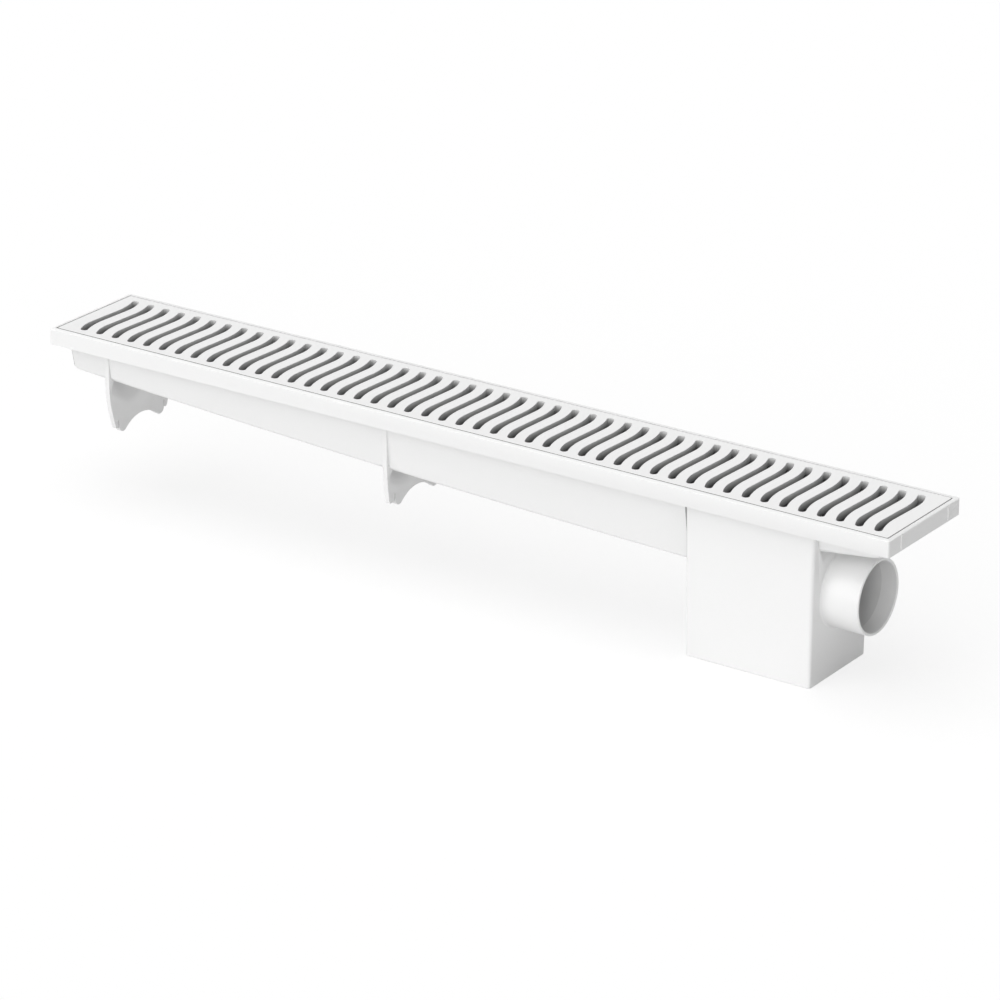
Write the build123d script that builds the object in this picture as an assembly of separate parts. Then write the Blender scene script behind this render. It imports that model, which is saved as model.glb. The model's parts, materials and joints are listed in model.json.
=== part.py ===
"""Channel drain: a long shallow trough with a slotted grate, two feet and a deep trap box.

Frame: millimetres, +Z up. X runs along the channel, with the outlet towards +X.
Y = 0 is the plane of symmetry. The origin is on the underside of the trap box,
under the middle of the rim.
"""
import os
from math import radians, tan

from build123d import *

# Rim, the flat frame that stays flush with the finished floor
rim_length = 499.6
rim_width = 66.0
rim_height = 8.6
rim_top = 88.8
rim_bevel_width = 0.9
rim_bevel_drop = 0.4
rim_corner_radius = 1.2
end_key_height = 0.5
end_key_width = 1.0
end_key_spacing = 43.4
end_key_margin = 0.8

# Grate and the recess that it drops into
grate_thickness = 4.0
grate_gap = 0.35
rim_side_strip = 2.6
rim_end_strip = 2.1
grate_corner_radius = 1.0
grate_edge_bevel = 0.3
slot_pitch = 10.28
slot_end_margin = 10.9
slot_side_margin = 4.95
slot_waist = 1.56
slot_belly = 2.5
slot_hook = 4.1
slot_crown = 0.3
slot_crown_drop = 0.9
slot_tip_drop = 1.6
slot_neck_share = 0.38
slot_shoulder_share = 0.47
slot_end_chords = 6

# Trough
trough_end_inset = 3.9
short_end_inset = 9.0
trough_top_width = 50.6
short_top_width = 45.6
trough_corner_radius = 6.0
trough_draft = 8.0
trough_end_draft = 3.0
wall = 2.0
floor_left = 65.3
floor_middle = 52.0
floor_at_box = 47.1
short_floor_at_box = 65.0
short_floor_right = 73.5
trough_bottom_radius = 2.2
short_bottom_radius = 1.5
trough_inner_radius = 1.0
rim_flare_radius = 2.0
core_bay_length = 38.0
core_web = 2.0
core_depth = 2.2
core_width = 4.0
core_inset = 1.0

# Trap box
box_end_margin = 43.6
box_length = 71.2
box_top_width = 52.6
box_draft = 0.55
box_corner_radius = 1.8
box_inner_bevel = 0.5
box_floor = 2.4
box_edge_radius = 0.7
box_flare = 1.4

# Outlet spigot
outlet_height = 43.7
outlet_diameter = 38.0
outlet_wall = 1.4
outlet_reach = 20.6
outlet_base_radius = 1.0
outlet_lip_chamfer = 0.4
outlet_mouth_depth = 8.5
outlet_step = 0.5
outlet_draft = 1.0

# Feet: plates across the channel, moulded with it
foot_thickness = 2.6
foot_end_margin = 31.2
foot_tapers = (4.4, 2.0)
foot_half_width = 25.4
foot_taper_top = 57.5
foot_gusset_length = 5.4
foot_gusset_share = 0.6
foot_bottom = 33.9
foot_lug_bottom = 36.5
foot_slit = 0.9
foot_slit_offset = 18.7
foot_slit_top = 40.6
foot_arch_top = 39.6
foot_toe_width = 5.6
foot_toe_curve = 2.2
foot_toe_cut = 1.0
foot_haunch_run = 3.4
foot_haunch_rise = 3.3
foot_lug_bevel = 0.8
foot_bow_share = 0.36
foot_gusset_tip = 0.5

# Removable baffle that makes the water seal in front of the outlet
baffle_offset = 15.0
baffle_thickness = 1.8
baffle_dip = 11.0
baffle_cap_height = 66.0
baffle_clearance = 0.3
baffle_tab_width = 16.0
baffle_tab_height = 12.0
guide_depth = 1.6
guide_width = 1.8
guide_top_gap = 3.0
guide_stop_height = 2.5

# Heights and lines that follow from the sizes above
rim_bottom = rim_top - rim_height
ledge_top = rim_top - grate_thickness
recess_length = rim_length - 2 * rim_end_strip
recess_width = rim_width - 2 * rim_side_strip
trough_end = rim_length / 2 - trough_end_inset
short_end = rim_length / 2 - short_end_inset
box_right = rim_length / 2 - box_end_margin
box_left = box_right - box_length
box_middle = (box_left + box_right) / 2
outlet_radius = outlet_diameter / 2
outlet_bore_radius = outlet_radius - outlet_wall
foot_left = foot_end_margin - rim_length / 2
foot_middle = (foot_left + box_left) / 2
grate_length = recess_length - 2 * grate_gap
grate_width = recess_width - 2 * grate_gap
slot_count = round((grate_length - 2 * slot_end_margin) / slot_pitch) + 1
slot_reach = grate_width / 2 - slot_side_margin
over = 1.0


def drafted_block(length, width, top, depth, draft, centre_x=0.0):
    """A rectangle at height top, drawn down by depth and narrowing by draft degrees."""
    outline = Plane.XY.offset(top) * Pos(centre_x, 0) * Rectangle(length, width)
    return extrude(outline, amount=-depth, taper=draft)


def upright_edges(block):
    """The edges of a block that run up or down."""
    return [e for e in block.edges() if abs(e.tangent_at(0.5).Z) > 0.5]


def bar(x_low, x_high, y_low, y_high, z_low, z_high):
    """A plain block between two corners."""
    size = (x_high - x_low, y_high - y_low, z_high - z_low)
    return Pos(x_low, y_low, z_low) * Box(*size, align=(Align.MIN, Align.MIN, Align.MIN))


def channel(top_width, end, floor_line, inset, top, corner, radius):
    """One drafted channel from the box's middle to an end, inset by a wall, with a sloping floor."""
    lean = tan(radians(trough_draft))
    low = floor_at_box - over
    half_top = top_width / 2 - inset + (top - rim_bottom) * lean
    half_low = top_width / 2 - inset - (rim_bottom - low) * lean
    section = Polyline((-half_top, top), (half_top, top), (half_low, low), (-half_low, low), close=True)
    prism = extrude(Plane.YZ.offset(-rim_length / 2) * make_face(section), rim_length)
    start = (box_middle, top)
    outline = [floor_line, Line(floor_line @ 1, end), Line(end, start), Line(start, floor_line @ 0)]
    form = prism & extrude(Plane.XZ * make_face(outline), amount=rim_width / 2, both=True)
    form = fillet([e for e in upright_edges(form) if abs(e.center().X - box_middle) > over], corner)
    floor = form.faces().sort_by(Axis.Z)[0]
    return fillet([e for e in floor.edges() if abs(e.center().X - box_middle) > over], radius)


def long_channel(inset, top, corner, radius):
    """The channel left of the box, whose floor sags gently towards it."""
    lean = tan(radians(trough_end_draft))
    end = (inset - trough_end - (top - rim_bottom) * lean, top)
    left = (inset - trough_end + (rim_bottom - floor_left) * lean, floor_left + inset)
    floor = ThreePointArc((box_middle, floor_at_box + inset), (0, floor_middle + inset), left)
    return channel(trough_top_width, end, floor, inset, top, corner, radius)


def short_channel(inset, top, corner, radius):
    """The narrower channel right of the box, whose floor falls back to it."""
    lean = tan(radians(trough_end_draft))
    end = (short_end - inset + (top - rim_bottom) * lean, top)
    right = (short_end - inset - (rim_bottom - short_floor_right) * lean, short_floor_right + inset)
    floor = Line((box_middle, short_floor_at_box + inset), right)
    return channel(short_top_width, end, floor, inset, top, corner, radius)


def water_way():
    """Both channels one wall further in, open upwards into the recess."""
    top = ledge_top + over
    corner = trough_corner_radius - wall
    long = long_channel(wall, top, corner, trough_inner_radius)
    return long + short_channel(wall, top, corner, trough_inner_radius)


def floor_height(x):
    """The height of the long channel's underside at x, on its gently sagging curve."""
    along = (x + trough_end) / (box_middle + trough_end)
    middle = trough_end / (box_middle + trough_end)
    chord = floor_left + (floor_at_box - floor_left) * along
    sag = floor_left + (floor_at_box - floor_left) * middle - floor_middle
    return chord - sag * along * (1 - along) / (middle * (1 - middle))


def rim_block():
    """The rim as a flat slab with its top edge bevelled all round."""
    outline = Plane.XY.offset(rim_bottom) * RectangleRounded(rim_length, rim_width, rim_corner_radius)
    slab = extrude(outline, rim_height)
    return chamfer(slab.faces().sort_by(Axis.Z)[-1].edges(), rim_bevel_drop, rim_bevel_width)


def flared(body, top_width, x_low, x_high):
    """The body with the corners rounded where a channel between two ends meets the rim's underside."""
    root = [e for e in body.edges() if abs(e.center().Z - rim_bottom) < 0.01
            and abs(e.center().Y) < top_width / 2 + 0.01 and x_low - 0.01 < e.center().X < x_high + 0.01]
    return fillet(root, rim_flare_radius)


def end_keys():
    """Two fine upright ribs on each end face, where the next drain would butt."""
    keys = []
    for side in (-1, 1):
        for y in (-end_key_spacing / 2, end_key_spacing / 2):
            height = rim_height - 2 * end_key_margin
            key = Box(2 * end_key_height, end_key_width, height)
            keys.append(Pos(side * rim_length / 2, y, rim_bottom + rim_height / 2) * key)
    return keys


def core_bays():
    """Pockets that keep the rim's long sides to one wall, with a web between each two."""
    pitch = core_bay_length + core_web
    count = int((recess_length - core_web) // pitch)
    start = -(count * pitch - core_web) / 2
    y_low = trough_top_width / 2 + core_inset
    bays = []
    for i in range(count):
        x_low = start + i * pitch
        for side in (-1, 1):
            y_pair = sorted((side * y_low, side * (y_low + core_width)))
            x_high = x_low + core_bay_length
            bays.append(bar(x_low, x_high, *y_pair, rim_bottom - over, rim_bottom + core_depth))
    return bays


def box_block(shrink, bottom, top):
    """The drafted box, taken in by shrink on each side."""
    grow = 2 * (top - rim_bottom) * tan(radians(box_draft))
    length = box_length - 2 * shrink + grow
    width = box_top_width - 2 * shrink + grow
    return drafted_block(length, width, top, top - bottom, box_draft, box_middle)


def trap_box_outer():
    """The deep box under the right end: round upright and lower edges, a bevelled collar under the rim."""
    block = box_block(0, 0, rim_bottom + over)
    block = fillet(upright_edges(block), box_corner_radius)
    block = fillet(block.faces().sort_by(Axis.Z)[0].edges(), box_edge_radius)
    length = box_length + 2 * box_flare
    width = box_top_width + 2 * box_flare
    return block + drafted_block(length, width, rim_bottom, box_flare, 45, box_middle)


def trap_box_inner():
    """The hollow of the box, open upwards into the recess."""
    block = box_block(wall, box_floor, ledge_top + over)
    return chamfer(upright_edges(block), box_inner_bevel)


def box_wall_x(z):
    """The outside of the box's right wall at a height."""
    return box_right - (rim_bottom - z) * tan(radians(box_draft))


def box_inner_half_width(z):
    """Half the inside width of the box at a height."""
    return box_top_width / 2 - wall - (rim_bottom - z) * tan(radians(box_draft))


def along_x(shape, x):
    """A round solid turned to lie along X on the outlet's axis, starting at x."""
    return Pos(x, 0, outlet_height) * Rot(0, 90, 0) * shape


def spigot():
    """The outlet pipe with a flared root, standing out of the box's right wall under the short channel."""
    start = box_wall_x(outlet_height) - wall
    root = outlet_base_radius
    end = wall + outlet_reach
    profile = Polyline(
        (0, 0), (outlet_radius + root, 0), (outlet_radius + root, wall),
        (outlet_radius + root / 3, wall + root / 3), (outlet_radius, wall + root),
        (outlet_radius, end - outlet_lip_chamfer), (outlet_radius - outlet_lip_chamfer, end),
        (0, end), close=True)
    return along_x(revolve(Plane.XZ * make_face(profile), Axis.Z), start)


def spigot_bore():
    """The bore: a wide mouth, a small step, then a cone that narrows towards the box."""
    start = box_wall_x(outlet_height) - wall
    mouth = outlet_mouth_depth
    cone_length = wall + outlet_reach - mouth
    throat = outlet_bore_radius - outlet_step - cone_length * tan(radians(outlet_draft))
    profile = Polyline(
        (0, -over), (throat, -over), (throat, 0),
        (outlet_bore_radius - outlet_step, cone_length), (outlet_bore_radius, cone_length),
        (outlet_bore_radius, cone_length + mouth - outlet_lip_chamfer),
        (outlet_bore_radius + outlet_lip_chamfer, cone_length + mouth),
        (outlet_bore_radius + outlet_lip_chamfer, cone_length + mouth + over),
        (0, cone_length + mouth + over), close=True)
    return along_x(revolve(Plane.XZ * make_face(profile), Axis.Z), start)


def foot_plate(x, taper):
    """One foot: a plate with an arch between two legs, each leg split into a lug and a longer toe."""
    toe_out = foot_slit_offset - foot_slit / 2
    toe_in = toe_out - foot_toe_width
    toe_low = (toe_in, foot_bottom + foot_toe_cut)
    toe_high = (toe_out, foot_bottom + foot_toe_curve)
    lug_in = foot_slit_offset + foot_slit / 2
    lug_out = foot_half_width - taper
    lug_high = (lug_out, foot_lug_bottom + foot_lug_bevel)
    bow = (foot_half_width - foot_bow_share * taper, (foot_taper_top + foot_lug_bottom) / 2)
    knee = (foot_half_width, foot_taper_top)
    top = ledge_top - over
    edges = Polyline((0, foot_arch_top), (0, top), (foot_half_width, top), knee).edges()
    edges += Polyline(lug_high, (lug_out - foot_lug_bevel, foot_lug_bottom), (lug_in, foot_lug_bottom),
                      (lug_in, foot_slit_top), (toe_out, foot_slit_top), toe_high).edges()
    haunch = (toe_in - foot_haunch_run, foot_bottom + foot_haunch_rise)
    edges += [ThreePointArc(knee, bow, lug_high),
              ThreePointArc(toe_high, (toe_out - foot_toe_curve, foot_bottom), toe_low),
              Spline(toe_low, haunch, (0, foot_arch_top), tangents=((-0.8, 0.6), (-1, 0)))]
    leg = extrude(Plane.YZ.offset(x - foot_thickness / 2) * make_face(edges), foot_thickness)
    return leg + mirror(leg, Plane.XZ)


def foot_gussets(x):
    """Two wedges between a foot and the channel's walls, on the outlet's side, growing downwards."""
    x_face = x + foot_thickness / 2
    low = floor_height(x_face) + trough_bottom_radius
    y_top = trough_top_width / 2
    y_wall = y_top - (rim_bottom - low) * tan(radians(trough_draft))
    y_low = foot_half_width - foot_gusset_share * (foot_half_width - y_wall)
    y_high = foot_half_width - foot_gusset_share * (foot_half_width - y_top)
    broad = Polyline((x_face, y_low), (x_face + foot_gusset_length, y_wall),
                     (x_face, y_wall - wall / 2), close=True)
    narrow = Polyline((x_face, y_high), (x_face + foot_gusset_tip / 2, y_high - foot_gusset_tip),
                      (x_face, y_high - 2 * foot_gusset_tip), close=True)
    sections = [Plane.XY.offset(low) * make_face(broad), Plane.XY.offset(rim_bottom) * make_face(narrow)]
    gusset = loft(sections, ruled=True)
    return [gusset, mirror(gusset, Plane.XZ)]


def guide_rails():
    """Two ribs on each long wall of the box that hold the baffle upright, closed by a stop below."""
    rails = []
    x_plate = baffle_x()
    low = baffle_bottom() - guide_stop_height
    high = baffle_cap_height - guide_top_gap
    groove = baffle_thickness + 2 * baffle_clearance
    for side in (-1, 1):
        y_wall = box_inner_half_width(high) + wall / 2
        y_in = box_inner_half_width(low) - guide_depth
        y_pair = sorted((side * y_in, side * y_wall))
        left = bar(x_plate - groove / 2 - guide_width, x_plate - groove / 2, *y_pair, low, high)
        right = bar(x_plate + groove / 2, x_plate + groove / 2 + guide_width, *y_pair, low, high)
        stop = bar(x_plate - groove / 2, x_plate + groove / 2, *y_pair, low, baffle_bottom())
        rails += [left, right, stop]
    return rails


def baffle_x():
    """The middle of the baffle's plate, measured from the box's right wall at outlet height."""
    return box_wall_x(outlet_height) - wall - baffle_offset


def baffle_bottom():
    """The lower edge of the baffle, under the lowest point of the outlet's bore."""
    return outlet_height - outlet_bore_radius - baffle_dip


def channel_body():
    """Rim, channels, box, outlet and feet: one moulding."""
    body = rim_block() + long_channel(0, rim_bottom, trough_corner_radius, trough_bottom_radius)
    body = flared(body, trough_top_width, -trough_end, box_middle)
    body = body + short_channel(0, rim_bottom, trough_corner_radius, short_bottom_radius)
    body = flared(body, short_top_width, box_middle + over, short_end)
    body = body - core_bays()
    for x, taper in zip((foot_left, foot_middle), foot_tapers):
        body = body + foot_plate(x, taper) + foot_gussets(x)
    body = body + end_keys() + trap_box_outer() + spigot()
    y = recess_width / 2
    recess = bar(-recess_length / 2, recess_length / 2, -y, y, ledge_top, rim_top + over)
    body = body - recess - water_way() - trap_box_inner() - spigot_bore()
    return body + guide_rails()


def slot_face():
    """One slot: an S that is narrow in the middle, swells and hooks over at both ends."""
    neck = (slot_waist, -slot_neck_share * slot_reach)
    shoulder = (slot_belly, slot_shoulder_share * slot_reach)
    crown = (-slot_crown, slot_reach - slot_crown_drop)
    tip = (-slot_hook, slot_reach - slot_tip_drop)
    hook = TangentArc(neck, (slot_hook, slot_tip_drop - slot_reach), tangent=(0, -1))
    waist = Line(neck, shoulder)
    belly = TangentArc(shoulder, crown, tangent=waist % 1)
    end = TangentArc(crown, tip, tangent=belly % 1)
    chords = Polyline([end @ (i / slot_end_chords) for i in range(slot_end_chords + 1)])
    half = [hook, waist, belly, *chords.edges()]
    return make_face(half + [Rot(0, 0, 180) * edge for edge in half])


def grate():
    """The slotted cover, a flat plate that drops into the rim's recess."""
    outline = Plane.XY.offset(ledge_top) * RectangleRounded(grate_length, grate_width, grate_corner_radius)
    plate = extrude(outline, grate_thickness)
    plate = chamfer(plate.faces().sort_by(Axis.Z)[-1].edges(), grate_edge_bevel)
    slot = extrude(Pos(0, 0, ledge_top - over) * slot_face(), grate_thickness + 2 * over)
    first = -(slot_count - 1) * slot_pitch / 2
    return plate - [Pos(first + i * slot_pitch, 0) * slot for i in range(slot_count)]


def trap_baffle():
    """A plate in the guide rails with a cap back to the outlet wall and a finger tab on top."""
    x_low = baffle_x() - baffle_thickness / 2
    x_high = baffle_x() + baffle_thickness / 2
    half_low = box_inner_half_width(baffle_bottom()) - baffle_clearance
    half_high = box_inner_half_width(baffle_cap_height) - baffle_clearance
    outline = Polyline((-half_low, baffle_bottom()), (half_low, baffle_bottom()),
                       (half_high, baffle_cap_height), (-half_high, baffle_cap_height), close=True)
    plate = extrude(Plane.YZ.offset(x_low) * make_face(outline), baffle_thickness)
    cap_end = box_wall_x(baffle_cap_height) - wall - baffle_clearance
    cap_low = baffle_cap_height - baffle_thickness
    cap = bar(x_low, cap_end, -half_high, half_high, cap_low, baffle_cap_height)
    tab = bar(x_low, x_high, -baffle_tab_width / 2, baffle_tab_width / 2,
              baffle_cap_height - over, baffle_cap_height + baffle_tab_height)
    tab = fillet(tab.edges().filter_by(Axis.X).group_by(Axis.Z)[-1], baffle_tab_width / 4)
    return plate + cap + tab


os.makedirs("parts", exist_ok=True)
for name, make in (("channel_body", channel_body), ("grate", grate), ("trap_baffle", trap_baffle)):
    export_step(make(), f"parts/{name}.step")
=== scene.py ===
"""Looks for the channel drain: white moulded plastic, a pale floor and plain studio light.

Units are metres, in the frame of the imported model: X runs along the channel towards
the outlet, Z goes up through the grate, and Z = 0 is the underside of the trap box.
"""

import json
import logging
import math
from dataclasses import dataclass
from enum import Enum

import bmesh
import bpy
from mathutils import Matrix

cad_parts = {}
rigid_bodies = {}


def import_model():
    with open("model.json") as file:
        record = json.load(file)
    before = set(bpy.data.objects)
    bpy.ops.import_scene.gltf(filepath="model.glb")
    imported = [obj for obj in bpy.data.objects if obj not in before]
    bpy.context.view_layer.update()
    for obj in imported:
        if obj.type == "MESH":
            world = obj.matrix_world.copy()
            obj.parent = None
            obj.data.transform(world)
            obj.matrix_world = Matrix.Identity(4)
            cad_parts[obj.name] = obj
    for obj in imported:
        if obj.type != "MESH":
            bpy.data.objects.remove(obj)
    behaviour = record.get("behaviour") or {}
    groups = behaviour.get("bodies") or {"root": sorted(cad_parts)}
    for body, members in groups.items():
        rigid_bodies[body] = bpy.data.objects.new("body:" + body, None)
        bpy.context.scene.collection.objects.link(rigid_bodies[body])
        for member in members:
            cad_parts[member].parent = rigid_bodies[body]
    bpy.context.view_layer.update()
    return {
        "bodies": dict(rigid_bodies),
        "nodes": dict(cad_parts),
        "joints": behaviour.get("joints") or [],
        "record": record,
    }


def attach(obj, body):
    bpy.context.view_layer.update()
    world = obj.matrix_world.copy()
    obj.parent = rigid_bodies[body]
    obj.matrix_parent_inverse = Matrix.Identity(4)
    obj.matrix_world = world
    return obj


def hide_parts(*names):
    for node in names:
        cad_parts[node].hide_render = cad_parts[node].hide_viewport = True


log = logging.getLogger("channel_drain")

MM = 0.001

# Points closer than WELD are one point, and faces within FLAT of each other are one face.
WELD = 0.002 * MM
FLAT = math.radians(0.2)

# The point attribute that holds painted shade: how far into the recesses a point lies, from 0 to 1.
PAINTED_SHADE = "painted_shade"

# What a node's input takes: another node's output, a number or a colour.
Colour = tuple[float, float, float, float]
Feed = bpy.types.NodeSocket | float | Colour


class Socket(Enum):
    """The kinds of socket that the shared shader group uses."""

    VALUE = "NodeSocketFloat"
    COLOUR = "NodeSocketColor"
    VECTOR = "NodeSocketVector"


class Blend(Enum):
    """The kinds of Mix node: the data type and where its two inputs and its output are.

    The sockets are picked by place, because a Mix node has several of the same name.
    """

    NUMBERS = ("FLOAT", 2, 3, 0)
    COLOURS = ("RGBA", 6, 7, 2)


class Edges(Enum):
    """Which edges of a piece are rounded in its finished copy."""

    NONE = "none"
    TOP = "the sharp edges of its top face"
    OUTER = "all sharp edges that stand out"


def grey(tone: float) -> Colour:
    """Gives an opaque grey."""
    return (tone, tone, tone, 1.0)


@dataclass(frozen=True)
class Noise:
    """A noise pattern: how fine it is, its layers and how much the finer ones count."""

    scale: float
    detail: float = 1.0
    roughness: float = 0.5


@dataclass(frozen=True)
class Nodes:
    """A node tree, with short calls that add nodes and link them."""

    tree: bpy.types.NodeTree

    def feed(self, target: bpy.types.NodeSocket, value: Feed) -> None:
        """Gives an input its value.

        Args:
            target: the input.
            value: the output that it is linked to, or a plain value.
        """
        if isinstance(value, bpy.types.NodeSocket):
            self.tree.links.new(value, target)
        else:
            target.default_value = value

    def adjust(self, node: bpy.types.Node, **settings: object) -> None:
        """Sets a node's properties and inputs.

        Args:
            node: the node.
            settings: properties by name, or inputs by name with blanks as underscores.
        """
        for name, value in settings.items():
            if name in node.bl_rna.properties.keys():
                setattr(node, name, value)
            else:
                self.feed(node.inputs[name.replace("_", " ")], value)

    def add(self, kind: str, **settings: object) -> bpy.types.Node:
        """Adds a shader node.

        Args:
            kind: the node's type name without its ShaderNode prefix.
            settings: what adjust takes.

        Returns:
            The new node.
        """
        made = self.tree.nodes.new("ShaderNode" + kind)
        self.adjust(made, **settings)
        return made

    def math(self, operation: str, *values: Feed) -> bpy.types.NodeSocket:
        """Adds a Math node.

        Args:
            operation: what it works out.
            values: its inputs in order.

        Returns:
            Its output.
        """
        made = self.add("Math", operation=operation)
        for target, value in zip(made.inputs, values):
            self.feed(target, value)
        return made.outputs[0]

    def mix(self, kind: Blend, share: Feed, first: Feed, second: Feed) -> bpy.types.NodeSocket:
        """Adds a Mix node.

        Args:
            kind: what it mixes.
            share: how much of the second goes in, from 0 to 1.
            first: the input that shows at a share of 0.
            second: the input that shows at a share of 1.

        Returns:
            Its output.
        """
        data_type, first_at, second_at, result_at = kind.value
        made = self.add("Mix", data_type=data_type, Factor=share)
        self.feed(made.inputs[first_at], first)
        self.feed(made.inputs[second_at], second)
        return made.outputs[result_at]

    def place(self) -> bpy.types.NodeSocket:
        """Gives the place on the piece, which is the place in the frame."""
        return self.add("TexCoord").outputs["Object"]

    def noise(self, pattern: Noise) -> bpy.types.NodeSocket:
        """Gives a noise pattern's value at each place."""
        made = self.add("TexNoise", Vector=self.place(), Scale=pattern.scale,
                        Detail=pattern.detail, Roughness=pattern.roughness)
        return made.outputs["Fac"]

    def seen_directly(self) -> bpy.types.NodeSocket:
        """Tells what is seen, itself or in a reflection, from what only gives light.

        Returns:
            A socket that is 1 for camera, glossy and transmission rays, and 0 for the others.
        """
        path = self.add("LightPath").outputs
        mirrored = self.math("MAXIMUM", path["Is Glossy Ray"], path["Is Transmission Ray"])
        return self.math("MAXIMUM", path["Is Camera Ray"], mirrored)


@dataclass(frozen=True)
class MouldedSkin:
    """The skin that the plastics share: faint mottling, painted shade in recesses, slow waves and a fine
    grain.

    Attributes:
        mottle: the broad part of the mottling.
        speck: its fine part.
        speck_share: how much of the mottling is specks.
        polish: where the skin is smoother or rougher.
        polish_range: the values of that pattern that count as smoothest and roughest.
        wave: the unevenness of a moulded wall.
        grain: the texture of the mould.
    """

    mottle: Noise = Noise(9.0, detail=2.0)
    speck: Noise = Noise(1800.0, roughness=0.6)
    speck_share: float = 0.75
    polish: Noise = Noise(30.0)
    polish_range: tuple[float, float] = (0.3, 0.7)
    wave: Noise = Noise(7.0, roughness=0.4)
    grain: Noise = Noise(2600.0, roughness=0.6)

    def build(self) -> bpy.types.NodeTree:
        """Builds the shader group.

        Returns:
            A group with Colour, Roughness and Normal outputs that vary over the surface.
        """
        tree = bpy.data.node_groups.new("moulded_skin", "ShaderNodeTree")
        for name in ("Base", "MottleShadeGrey"):
            tree.interface.new_socket(name=name, in_out="INPUT", socket_type=Socket.COLOUR.value)
        for name in ("PaintedShade", "Mottle", "Smooth", "Rough", "Wave Height", "Grain Height"):
            tree.interface.new_socket(name=name, in_out="INPUT", socket_type=Socket.VALUE.value)
        outputs = {"Colour": Socket.COLOUR, "Roughness": Socket.VALUE, "Normal": Socket.VECTOR}
        for name, kind in outputs.items():
            tree.interface.new_socket(name=name, in_out="OUTPUT", socket_type=kind.value)
        nodes = Nodes(tree)
        given = tree.nodes.new("NodeGroupInput").outputs
        result = tree.nodes.new("NodeGroupOutput").inputs
        nodes.feed(result["Colour"], self.colour(nodes, given))
        nodes.feed(result["Roughness"], self.roughness(nodes, given))
        nodes.feed(result["Normal"], self.normal(nodes, given))
        return tree

    def colour(self, nodes: Nodes, given: bpy.types.NodeOutputs) -> bpy.types.NodeSocket:
        """Turns the base colour towards the darker grey by the mottling or the painted shade, whichever is
        more.

        Args:
            nodes: the group's nodes.
            given: the group's inputs.

        Returns:
            The colour.
        """
        mottling = nodes.mix(Blend.NUMBERS, self.speck_share,
                             nodes.noise(self.mottle), nodes.noise(self.speck))
        amount = nodes.math("MULTIPLY", mottling, given["Mottle"])
        # The mottling is the plastic's own tone; the other input is painted shade in recesses.
        darkening = nodes.math("MAXIMUM", amount, given["PaintedShade"])
        return nodes.mix(Blend.COLOURS, darkening, given["Base"], given["MottleShadeGrey"])

    def roughness(self, nodes: Nodes, given: bpy.types.NodeOutputs) -> bpy.types.NodeSocket:
        """Lets the roughness wander between the smooth and the rough value.

        Args:
            nodes: the group's nodes.
            given: the group's inputs.

        Returns:
            The roughness.
        """
        low, high = self.polish_range
        spread = nodes.add("MapRange", interpolation_type="SMOOTHSTEP",
                           Value=nodes.noise(self.polish), From_Min=low, From_Max=high,
                           To_Min=given["Smooth"], To_Max=given["Rough"])
        return spread.outputs["Result"]

    def normal(self, nodes: Nodes, given: bpy.types.NodeOutputs) -> bpy.types.NodeSocket:
        """Raises the grain on the waves.

        Args:
            nodes: the group's nodes.
            given: the group's inputs.

        Returns:
            The normal.
        """
        waves = nodes.add("Bump", Strength=1.0, Distance=given["Wave Height"],
                          Height=nodes.noise(self.wave))
        grain = nodes.add("Bump", Strength=1.0, Distance=given["Grain Height"],
                          Height=nodes.noise(self.grain), Normal=waves.outputs["Normal"])
        return grain.outputs["Normal"]


@dataclass(frozen=True)
class CornerShade:
    """A narrow strip of painted shade in the corner where the long channel runs into the trap box.

    Attributes:
        x: where its middle is along the channel.
        half_width: how far it reaches to either side.
        z: the height of its middle.
        half_height: how far it reaches up and down.
        darkening: its share of the darker grey, as painted shade.
    """

    x: float = 134.8 * MM
    half_width: float = 0.9 * MM
    z: float = 64.3 * MM
    half_height: float = 15.9 * MM
    # How dark the painted shade in the corner strip is.
    darkening: float = 0.75

    def add(self, nodes: Nodes) -> bpy.types.NodeSocket:
        """Adds the strip to a material.

        Args:
            nodes: the material's nodes.

        Returns:
            A socket with the strip's painted shade inside it and 0 elsewhere.
        """
        place = nodes.add("SeparateXYZ", Vector=nodes.place()).outputs
        across = nodes.math("COMPARE", place["X"], self.x, self.half_width)
        upright = nodes.math("COMPARE", place["Z"], self.z, self.half_height)
        both = nodes.math("MULTIPLY", across, upright)
        return nodes.math("MULTIPLY", both, self.darkening)


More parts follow.
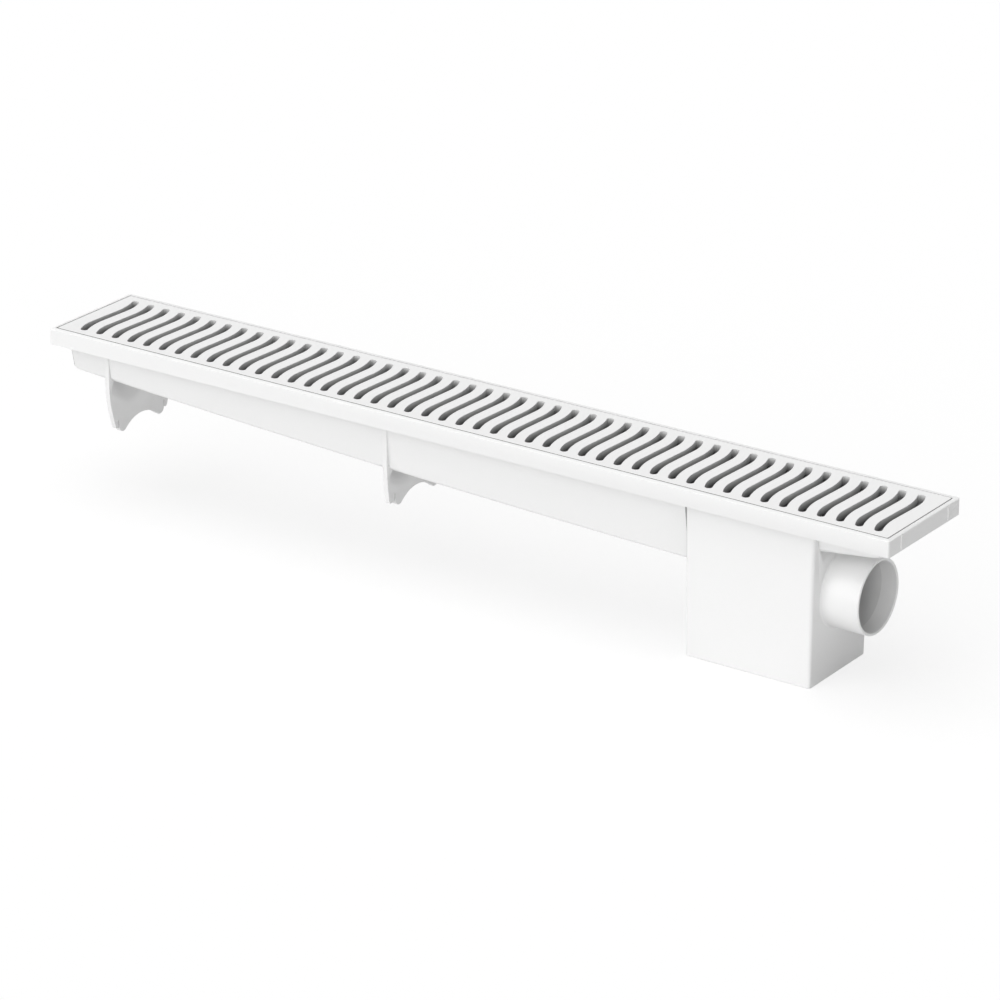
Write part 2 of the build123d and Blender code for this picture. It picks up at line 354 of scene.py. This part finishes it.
@dataclass(frozen=True)
class WhitePlastic:
    """White injection-moulded plastic with a satin skin.

    Attributes:
        name: the material's name.
        base: its colour.
        mottle_and_shade_grey: the grey that the mottling turns towards, and that the painted shade reaches
            in full recesses.
        mottle: the strength of the mottling.
        smooth: the least roughness.
        rough: the greatest roughness.
        wave_height: the height of the waves.
        grain_height: the height of the grain.
        ior: how strongly it refracts and mirrors.
        coat: how much gloss lies on top.
        coat_roughness: how blurred that gloss is.
        corner_shade: a strip of painted shade, or None.
    """

    name: str
    base: Colour = (0.88, 0.88, 0.878, 1.0)
    # Painted shade in recesses darkens towards this grey; the mottling turns towards it as well.
    mottle_and_shade_grey: Colour = grey(0.1)
    mottle: float = 0.045
    smooth: float = 0.285
    rough: float = 0.35
    wave_height: float = 0.02 * MM
    grain_height: float = 0.003 * MM
    ior: float = 1.5
    coat: float = 0.15
    coat_roughness: float = 0.12
    corner_shade: CornerShade | None = None

    def make(self, skin: bpy.types.NodeTree) -> bpy.types.Material:
        """Builds the material.

        Args:
            skin: the shared group from MouldedSkin.

        Returns:
            The finished material.
        """
        material = bpy.data.materials.new(self.name)
        material.use_nodes = True
        nodes = Nodes(material.node_tree)
        varied = nodes.add("Group", node_tree=skin, Base=self.base, MottleShadeGrey=self.mottle_and_shade_grey,
                           PaintedShade=self.painted_shade(nodes), Mottle=self.mottle,
                           Smooth=self.smooth, Rough=self.rough,
                           Wave_Height=self.wave_height, Grain_Height=self.grain_height).outputs
        nodes.adjust(material.node_tree.nodes["Principled BSDF"], IOR=self.ior,
                     Coat_Weight=self.coat, Coat_Roughness=self.coat_roughness,
                     Base_Color=varied["Colour"], Roughness=varied["Roughness"],
                     Normal=varied["Normal"])
        return material

    def painted_shade(self, nodes: Nodes) -> bpy.types.NodeSocket:
        """Reads the painted shade at each point, from the piece's attribute and the strip, if there is one.

        Args:
            nodes: the material's nodes.

        Returns:
            The painted shade from 0 to 1.
        """
        darkening = nodes.add("Attribute", attribute_name=PAINTED_SHADE).outputs["Fac"]
        return nodes.math("MAXIMUM", darkening, self.corner_shade.add(nodes)) if self.corner_shade else darkening


@dataclass(frozen=True)
class FloorPaint:
    """The matt white of the studio floor.

    To the camera and in reflections it is mostly its own white, so that the object's
    shadow stays faint, as on a bright product table.

    Attributes:
        name: the material's name.
        tone: the grey with which it lights the object.
        seen_tone: the grey that the camera sees lit.
        seen_white: the light of its own that the camera sees.
        roughness: how matt it is.
    """

    name: str = "floor_white"
    tone: float = 0.7
    seen_tone: float = 0.26
    seen_white: float = 0.75
    roughness: float = 0.9

    def make(self) -> bpy.types.Material:
        """Builds the floor's material.

        Returns:
            The finished material.
        """
        material = bpy.data.materials.new(self.name)
        material.use_nodes = True
        nodes = Nodes(material.node_tree)
        seen = nodes.seen_directly()
        nodes.adjust(material.node_tree.nodes["Principled BSDF"],
                     Base_Color=nodes.mix(Blend.COLOURS, seen, grey(self.tone), grey(self.seen_tone)),
                     Roughness=self.roughness, Specular_IOR_Level=0.0, Emission_Color=grey(1.0),
                     Emission_Strength=nodes.math("MULTIPLY", seen, self.seen_white))
        return material


@dataclass(frozen=True)
class MouldedPiece:
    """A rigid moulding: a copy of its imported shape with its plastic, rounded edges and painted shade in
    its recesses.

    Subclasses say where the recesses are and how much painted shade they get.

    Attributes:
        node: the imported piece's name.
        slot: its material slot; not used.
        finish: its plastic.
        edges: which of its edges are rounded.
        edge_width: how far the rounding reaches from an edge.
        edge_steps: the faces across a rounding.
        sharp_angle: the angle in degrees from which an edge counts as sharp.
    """

    node: str
    slot: str
    finish: WhitePlastic
    edges: Edges = Edges.NONE
    edge_width: float = 0.25 * MM
    edge_steps: int = 3
    sharp_angle: float = 32.0

    def build(self, frame: dict, skin: bpy.types.NodeTree) -> bpy.types.Object:
        """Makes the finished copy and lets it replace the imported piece.

        Args:
            skin: the shared group from MouldedSkin.

        Returns:
            The finished object.
        """
        mesh = self.finished(frame["nodes"][self.node].data)
        mesh.materials.append(self.finish.make(skin))
        # Each point gets its painted shade, which the material reads.
        layer = mesh.attributes.new(PAINTED_SHADE, "FLOAT", "POINT")
        layer.data.foreach_set("value", [self.painted_shade_at(*vert.co) for vert in mesh.vertices])
        piece = bpy.data.objects.new(mesh.name, mesh)
        bpy.context.scene.collection.objects.link(piece)
        flat_faces = piece.modifiers.new("weighted_normals", "WEIGHTED_NORMAL")
        flat_faces.keep_sharp = True
        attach(piece, "root")
        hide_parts(self.node)
        return piece

    def finished(self, packed: bpy.types.Mesh) -> bpy.types.Mesh:
        """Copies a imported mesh, welds it and rounds its picked edges.

        Args:
            packed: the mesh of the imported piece, which stays as it is.

        Returns:
            The new mesh.
        """
        shape = bmesh.new()
        shape.from_mesh(packed)
        bmesh.ops.remove_doubles(shape, verts=shape.verts, dist=WELD)
        limit = math.radians(self.sharp_angle)
        # Merged flat faces give clean corners to round, but on the body they leave the mesh open.
        if self.edges is Edges.TOP:
            bmesh.ops.dissolve_limit(shape, angle_limit=FLAT, verts=shape.verts, edges=shape.edges)
        picked = self.picked_edges(shape, limit)
        if picked:
            bmesh.ops.bevel(shape, geom=picked, offset=self.edge_width, offset_type="OFFSET",
                            affect="EDGES", segments=self.edge_steps, profile=0.5, material=-1,
                            clamp_overlap=True)
            bmesh.ops.remove_doubles(shape, verts=shape.verts, dist=WELD)
            bmesh.ops.dissolve_degenerate(shape, edges=shape.edges, dist=WELD)
        mesh = bpy.data.meshes.new(self.node + "_finished")
        shape.to_mesh(mesh)
        shape.free()
        mesh.shade_smooth()
        mesh.set_sharp_from_angle(angle=limit)
        return mesh

    def picked_edges(self, shape: bmesh.types.BMesh, limit: float) -> list[bmesh.types.BMEdge]:
        """Finds the edges to round.

        Args:
            shape: the welded shape.
            limit: the angle in radians from which an edge counts as sharp.

        Returns:
            The edges, none for a piece that keeps its edges.
        """
        if self.edges is Edges.NONE:
            return []
        sharp = [edge for edge in shape.edges if edge.calc_face_angle(0.0) > limit]
        if self.edges is Edges.TOP:
            top = max(vert.co.z for vert in shape.verts) - WELD
            return [edge for edge in sharp if all(vert.co.z > top for vert in edge.verts)]
        return [edge for edge in sharp if edge.is_convex and edge.calc_length() > self.edge_width
                and self.stands_out(edge)]

    def stands_out(self, edge: bmesh.types.BMEdge) -> bool:
        """Says whether an edge lies outside the recesses."""
        return all(self.painted_shade_at(*vert.co) == 0.0 for vert in edge.verts)

    def painted_shade_at(self, x: float, y: float, z: float) -> float:
        """Gives the painted shade at a point, from 0 to 1, by how far into the recesses it lies; a plain
        moulding has none.
        """
        return 0.0


@dataclass(frozen=True)
class Grate(MouldedPiece):
    """The slotted cover, with painted shade down the walls of its slots and at the gap round it.

    Attributes:
        top: the height of its top face.
        half_length: how far it reaches along the channel.
        half_width: how far it reaches across it.
        border: the width of the outline that counts as part of the gap.
        rim_depths: where the painted shade on a slot's wall starts and where it is all there.
        rim_shade: that painted shade.
        depth: how far down a slot's wall the painted shade is darkest.
        wall_shade: the painted shade there.
        gap_shade: the painted shade at the gap.
    """

    top: float = 88.8 * MM
    half_length: float = 247.35 * MM
    half_width: float = 30.05 * MM
    border: float = 0.5 * MM
    rim_depths: tuple[float, float] = (0.15 * MM, 0.25 * MM)
    # Painted shade on the slot walls and at the gap round the grate.
    rim_shade: float = 0.58
    depth: float = 4.0 * MM
    wall_shade: float = 0.9
    gap_shade: float = 0.9

    def painted_shade_at(self, x: float, y: float, z: float) -> float:
        """Painted shade that grows over the rounded rim of a slot and down its wall, and is strong at the
        gap outside.
        """
        down = self.top - z
        if down < WELD:
            return 0.0
        if abs(x) > self.half_length - self.border or abs(y) > self.half_width - self.border:
            return self.gap_shade
        light, dark = self.rim_depths
        rim = min(1.0, max(0.0, (down - light) / (dark - light)))
        below = min(1.0, down / self.depth)
        return rim * (self.rim_shade + (self.wall_shade - self.rim_shade) * below)


@dataclass(frozen=True)
class TrapBaffle(MouldedPiece):
    """The plate inside the trap box, with painted shade all over because little light falls there."""

    # Painted shade, the same all over the plate.
    darkening: float = 0.5

    def painted_shade_at(self, x: float, y: float, z: float) -> float:
        """Is the same all over."""
        return self.darkening


@dataclass(frozen=True)
class ChannelBody(MouldedPiece):
    """The moulded body, with painted shade on the walls of its water way and outlet, where little light
    falls.

    Attributes:
        darkening: the painted shade inside the gap, the channels and the box.
        bore_shade: the painted shade inside the outlet.
        gap_top: the height below which the rim's inner walls belong to the gap.
        gap_halves: half the length and half the width inside those walls.
        ledge: the height of the ledge that the grate lies on.
        rim_bottom: the height of the rim's underside.
        lean: how much the channels' walls lean in with depth.
        long_half: half the long channel's width, inside at the rim's underside.
        long_end: its inner end.
        long_floor_height: the height of its floor at x = 0.
        long_floor_fall: how steeply that floor falls there.
        long_floor_curve: how much it curves, per metre.
        short_half: half the short channel's width, inside at the rim's underside.
        short_end: its inner end.
        short_floor_height: the height of its floor, if it ran on to the middle of the box.
        short_floor_rise: how steeply it rises away from the box.
        box_ends: where the box's inside starts and ends along the channel.
        box_half: half its width inside.
        box_floor: the height of its floor.
        box_middle: the middle of the box along the channel.
        box_wall: how far inside the box's end the outlet's bore is taken to start.
        bore_centre: the height of the outlet's axis.
        bore_radius: the radius within which a point belongs to the bore.
    """

    # Painted shade inside the gap, the channels and the box, and, less, inside the bore.
    darkening: float = 0.95
    bore_shade: float = 0.15
    gap_top: float = 88.7 * MM
    gap_halves: tuple[float, float] = (247.85 * MM, 30.55 * MM)
    ledge: float = 84.8 * MM
    rim_bottom: float = 80.2 * MM
    lean: float = math.tan(math.radians(8.0))
    long_half: float = 24.3 * MM
    long_end: float = -244.6 * MM
    long_floor_height: float = 53.0 * MM
    long_floor_fall: float = 0.0427
    long_floor_curve: float = 0.0484
    short_half: float = 21.8 * MM
    short_end: float = 239.8 * MM
    short_floor_height: float = 66.0 * MM
    short_floor_rise: float = 0.121
    box_ends: tuple[float, float] = (136.0 * MM, 205.2 * MM)
    box_half: float = 25.0 * MM
    box_floor: float = 1.2 * MM
    box_middle: float = 170.6 * MM
    box_wall: float = 2.0 * MM
    bore_centre: float = 43.7 * MM
    bore_radius: float = 17.35 * MM

    def painted_shade_at(self, x: float, y: float, z: float) -> float:
        """Gives painted shade in the gap, the channels and the box, less in the bore, and 0 elsewhere."""
        if z > self.ledge - WELD:
            return self.darkening if self.in_gap(x, y, z) else 0.0
        if self.in_bore(x, y, z):
            return self.bore_shade
        inside = self.in_box(x, y, z) or self.in_long_channel(x, y, z) or self.in_short_channel(x, y, z)
        return self.darkening if inside else 0.0

    def in_gap(self, x: float, y: float, z: float) -> bool:
        """Says whether a point above the ledge is on the walls round the grate."""
        half_length, half_width = self.gap_halves
        return abs(x) < half_length and abs(y) < half_width and z < self.gap_top

    def in_bore(self, x: float, y: float, z: float) -> bool:
        """Says whether a point is inside the outlet."""
        off_axis = math.hypot(y, z - self.bore_centre)
        return x > self.box_ends[1] - self.box_wall and off_axis < self.bore_radius

    def in_box(self, x: float, y: float, z: float) -> bool:
        """Says whether a point is inside the trap box."""
        return self.box_ends[0] < x < self.box_ends[1] and abs(y) < self.box_half and z > self.box_floor

    def in_long_channel(self, x: float, y: float, z: float) -> bool:
        """Says whether a point is inside the long channel."""
        floor = self.long_floor_height - self.long_floor_fall * x + self.long_floor_curve * x * x
        half = self.long_half - (self.rim_bottom - z) * self.lean
        return self.long_end < x < self.box_ends[0] and abs(y) < half and z > floor

    def in_short_channel(self, x: float, y: float, z: float) -> bool:
        """Says whether a point is inside the short channel."""
        floor = self.short_floor_height + self.short_floor_rise * (x - self.box_middle)
        half = self.short_half - (self.rim_bottom - z) * self.lean
        return self.box_ends[1] < x < self.short_end and abs(y) < half and z > floor


@dataclass(frozen=True)
class Lamp:
    """A broad, far lamp: its strength, the direction it hangs in and its spread in degrees."""

    name: str
    strength: float
    direction: tuple[float, float, float]
    spread: float

    def hang(self) -> None:
        """Adds the lamp to the scene, shining from its direction towards the object."""
        light = bpy.data.lights.new(self.name, "SUN")
        light.energy = self.strength
        light.angle = math.radians(self.spread)
        hung = bpy.data.objects.new(self.name, light)
        x, y, z = self.direction
        hung.rotation_euler = (math.atan2(math.hypot(x, y), z), 0.0, math.atan2(x, -y))
        bpy.context.scene.collection.objects.link(hung)


@dataclass(frozen=True)
class Studio:
    """The floor, the lamps, the world and the camera.

    Attributes:
        floor_half: half the floor's side.
        floor_drop: how far the floor lies under Z = 0.
        camera_place: where the camera stands.
        camera_pitch: its angle from straight down, in degrees.
        camera_heading: its turn about Z, in degrees.
        lens: its focal length in millimetres.
        sensor: the width of its sensor in millimetres.
        sky: the sky's strength as light; to the camera it is 1.
        lamps: the lamps.
    """

    floor_half: float = 6.0
    floor_drop: float = 0.02 * MM
    camera_place: tuple[float, float, float] = (1.2047, -1.7182, 0.8937)
    camera_pitch: float = 67.87
    camera_heading: float = 34.81
    lens: float = 164.5
    sensor: float = 36.0
    sky: float = 0.25
    lamps: tuple[Lamp, ...] = (
        Lamp("front", 1.85, (-0.12, -0.95, 0.35), 75.0),
        Lamp("side", 0.45, (0.6, -0.8, 0.1), 40.0),
        Lamp("overhead", 1.52, (-0.15, -0.1, 1.0), 60.0),
    )

    def build(self) -> None:
        """Sets the whole stage."""
        self.lay_floor()
        for lamp in self.lamps:
            lamp.hang()
        self.light_world()
        self.place_camera()

    def lay_floor(self) -> None:
        """Lays a square floor just under Z = 0."""
        mesh = bpy.data.meshes.new("floor")
        shape = bmesh.new()
        bmesh.ops.create_grid(shape, x_segments=1, y_segments=1, size=self.floor_half)
        bmesh.ops.translate(shape, verts=shape.verts, vec=(0.0, 0.0, -self.floor_drop))
        shape.to_mesh(mesh)
        shape.free()
        floor = bpy.data.objects.new("floor", mesh)
        floor.data.materials.append(FloorPaint().make())
        bpy.context.scene.collection.objects.link(floor)

    def light_world(self) -> None:
        """Gives an even sky: dim as light, white to the camera and in reflections."""
        world = bpy.data.worlds.new("sky")
        world.use_nodes = True
        nodes = Nodes(world.node_tree)
        level = nodes.add("MapRange", Value=nodes.seen_directly(), To_Min=self.sky)
        nodes.adjust(world.node_tree.nodes["Background"], Color=grey(1.0), Strength=level.outputs["Result"])
        bpy.context.scene.world = world

    def place_camera(self) -> None:
        """Puts the camera where the photograph was taken from."""
        view = bpy.data.cameras.new("view")
        view.lens = self.lens
        view.sensor_width = self.sensor
        eye = bpy.data.objects.new("view", view)
        eye.location = self.camera_place
        eye.rotation_euler = (math.radians(self.camera_pitch), 0.0, math.radians(self.camera_heading))
        bpy.context.scene.collection.objects.link(eye)
        bpy.context.scene.camera = eye


@dataclass(frozen=True)
class ChannelDrain:
    """The drain as a whole: body, grate and trap baffle."""

    pieces: tuple[MouldedPiece, ...] = (
        ChannelBody("channel_body", "body",
                    WhitePlastic("body_white", corner_shade=CornerShade()), Edges.OUTER),
        Grate("grate", "grate",
              WhitePlastic("grate_white", smooth=0.3, rough=0.38, coat=0.05), Edges.TOP),
        TrapBaffle("trap_baffle", "baffle",
                   WhitePlastic("baffle_white", smooth=0.4, rough=0.5, coat=0.0)),
    )

    def build(self, frame: dict) -> None:
        """Dresses every piece.
        """
        skin = MouldedSkin().build()
        for piece in self.pieces:
            shown = piece.build(frame, skin)
            log.info("%s: %d faces, %s", shown.name, len(shown.data.polygons), piece.finish.name)


def main() -> None:
    """Loads the frame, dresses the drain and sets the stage."""
    logging.basicConfig(level=logging.INFO, format="%(name)s: %(message)s")
    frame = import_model()
    ChannelDrain().build(frame)
    Studio().build()
    bpy.context.scene.view_settings.view_transform = "Standard"


if __name__ == "__main__":
    main()
